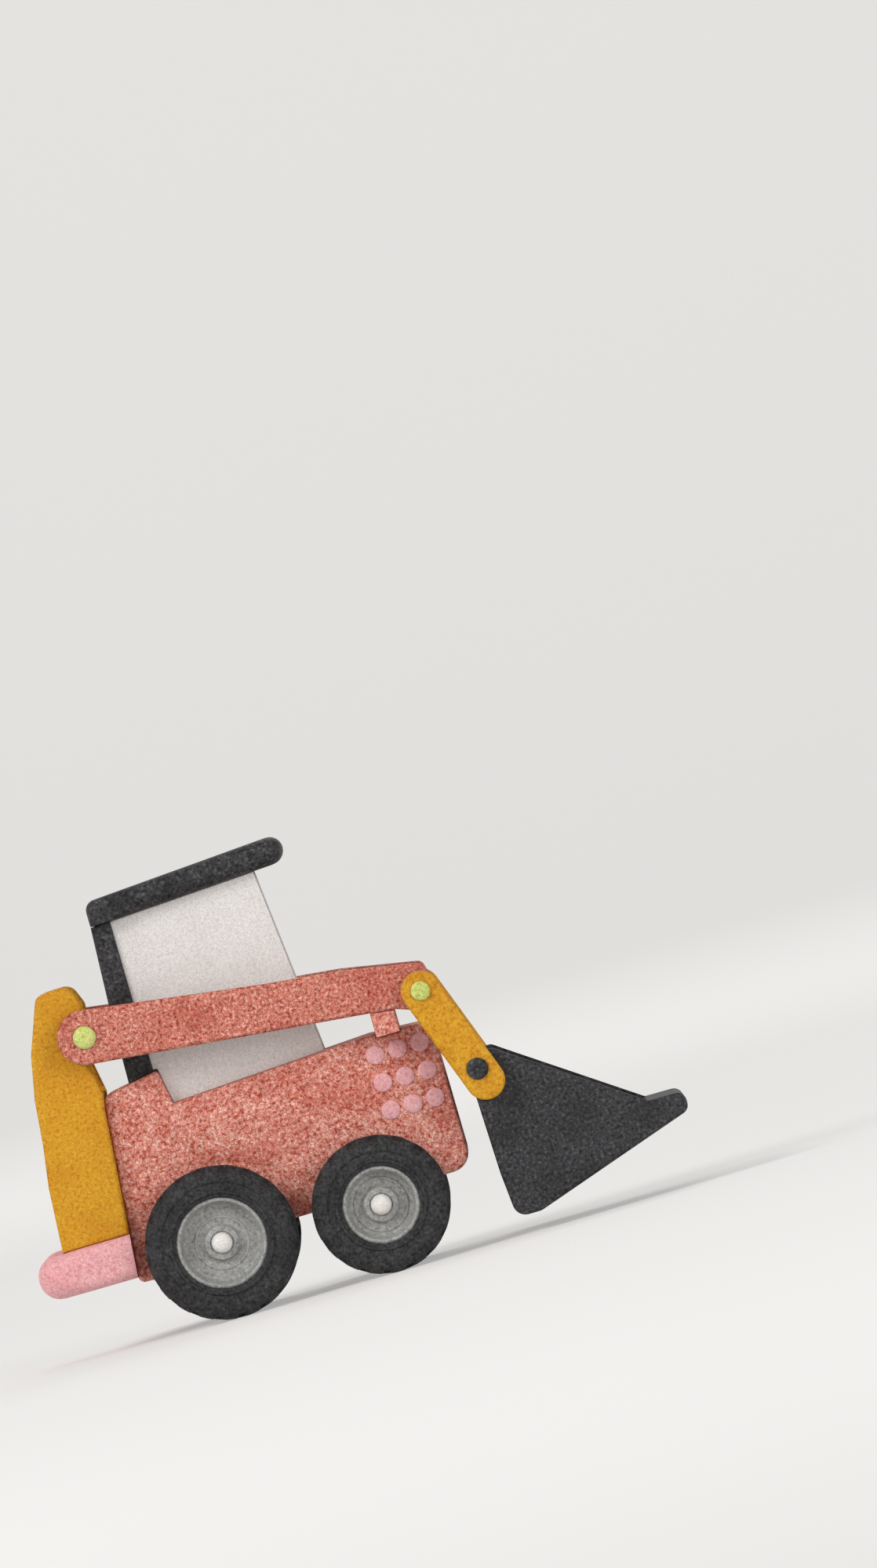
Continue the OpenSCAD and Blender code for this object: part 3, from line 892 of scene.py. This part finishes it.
# --- Pins ---------------------------------------------------------------------------------
# Shank radius and head thickness of each kind of pin, in millimetres
PINS = {"arm_pivot_pin": (3.5, 3.0), "link_pin": (3, 1.7), "bucket_pin": (3, 2.0)}


def make_pin(node, side, shank, head):
    """A pin with a domed head that has a shallow dimple."""
    chamfer, lip, dome = 0.4, 0.6, math.radians(72)
    steps, around = 8, 64
    start, tip = reach(node)
    r = outer_radius(node)
    seat = tip - head
    profile = [(0, start), (shank - chamfer, start), (shank, start + chamfer), (shank, seat),
               (r - 0.3, seat), (r, seat + 0.3)]
    for i in range(steps + 1):
        angle = dome * i / steps
        rise = (head - lip) * math.sin(angle) / math.sin(dome)
        profile.append((r * math.cos(angle), seat + lip + rise))
    edge = r * math.cos(dome)
    profile += [(edge - 0.35, tip - 0.1), (edge - 0.6, tip - 0.4), (0, tip - 0.45)]
    piece = turned(f"{node}_headed", centre(node), side, profile, around)
    shade(piece)
    stand_for(piece, node)


def make_pins():
    """The arm, link and bucket pins on both sides."""
    for name, side in SIDES.items():
        for kind, (shank, head) in PINS.items():
            make_pin(f"{kind}_{name}", side, shank, head)


# --- Stage --------------------------------------------------------------------------------
# Metres: the floor's flat radius, the bend up to the wall and the wall's top
FLOOR_FLAT = 9.0
FLOOR_BEND = 2.0
WALL_TOP = 3.2
FLOOR_COLOUR = (0.46, 0.455, 0.45, 1)
FLOOR_GLOW = (1.0, 0.99, 0.97, 1)
FLOOR_GLOW_STRENGTH = 0.34
FLOOR_ROUGH = 0.9
# The middle of the toy, which the lights face
MIDDLE = (0, 0, 0.1)
# Name, place, target, diameter in metres and power in watts
LIGHTS = (
    ("key", (-3.0, -2.6, 2.8), MIDDLE, 2.0, 120),
    ("fill", (3.2, -3.6, 1.2), MIDDLE, 2.2, 72),
    ("back", (0.8, 3.0, 3.0), MIDDLE, 2.0, 30),
    ("wall", (0, 4.5, 4.6), (0, 11.0, 1.6), 5.0, 150),
)
SKY_COLOUR = (1, 0.985, 0.96, 1)
SKY_STRENGTH = 0.52


def make_stage():
    """A pale floor that curves up into a wall all round."""
    around, bend_steps = 96, 18
    rings = [(FLOOR_FLAT, 0.0)]
    for i in range(1, bend_steps + 1):
        angle = math.radians(90 / bend_steps * i)
        rings.append((FLOOR_FLAT + FLOOR_BEND * math.sin(angle),
                      FLOOR_BEND * (1 - math.cos(angle))))
    rings.append((FLOOR_FLAT + FLOOR_BEND, WALL_TOP))
    turns = [2 * math.pi * i / around for i in range(around)]
    b = bmesh.new()
    hub = b.verts.new((0, 0, 0))
    rows = [[b.verts.new((radius * math.cos(a), radius * math.sin(a), height)) for a in turns]
            for radius, height in rings]
    for i in range(around):
        b.faces.new((hub, rows[0][i], rows[0][(i + 1) % around]))
    for low, high in zip(rows, rows[1:]):
        for i in range(around):
            j = (i + 1) % around
            b.faces.new((low[i], high[i], high[j], low[j]))
    floor = object_from(b, "floor")
    smooth(floor.data)
    material, _, principled = shader("floor")
    for name, value in (("Base Color", FLOOR_COLOUR), ("Emission Color", FLOOR_GLOW),
                        ("Emission Strength", FLOOR_GLOW_STRENGTH), ("Roughness", FLOOR_ROUGH)):
        principled.inputs[name].default_value = value
    floor.data.materials.append(material)


def area_light(name, place, target, size, power):
    """A round soft light at place that faces target."""
    data = bpy.data.lights.new(name, "AREA")
    data.shape = "DISK"
    data.size = size
    data.energy = power
    light = bpy.data.objects.new(name, data)
    turn = (Vector(target) - Vector(place)).to_track_quat("-Z", "Y")
    light.matrix_world = Matrix.Translation(place) @ turn.to_matrix().to_4x4()
    bpy.context.scene.collection.objects.link(light)


def make_lights():
    """Soft studio lights and an even pale sky."""
    for light in LIGHTS:
        area_light(*light)
    world = bpy.data.worlds.new("world")
    world.use_nodes = True
    sky = world.node_tree.nodes["Background"]
    sky.inputs["Color"].default_value = SKY_COLOUR
    sky.inputs["Strength"].default_value = SKY_STRENGTH
    bpy.context.scene.world = world
    bpy.context.scene.view_settings.view_transform = "Standard"


# --- Assembly -----------------------------------------------------------------------------

MATERIALS = make_materials()
make_camera()
make_stage()
make_lights()
make_wheels()
make_pins()
make_mouldings()

# CAD nodes keep their shape, with edges rounded by so many millimetres
LARGER_EDGES = {"base_plate": 0.5, "cab_rear_window": 0.3}
SMALL_EDGE = 0.25
for node_name, node_object in NODES.items():
    node_object.data.materials.clear()
    node_object.data.materials.append(MATERIALS[SLOT_OF[node_name]])
    soften(node_object, LARGER_EDGES.get(node_name, SMALL_EDGE))
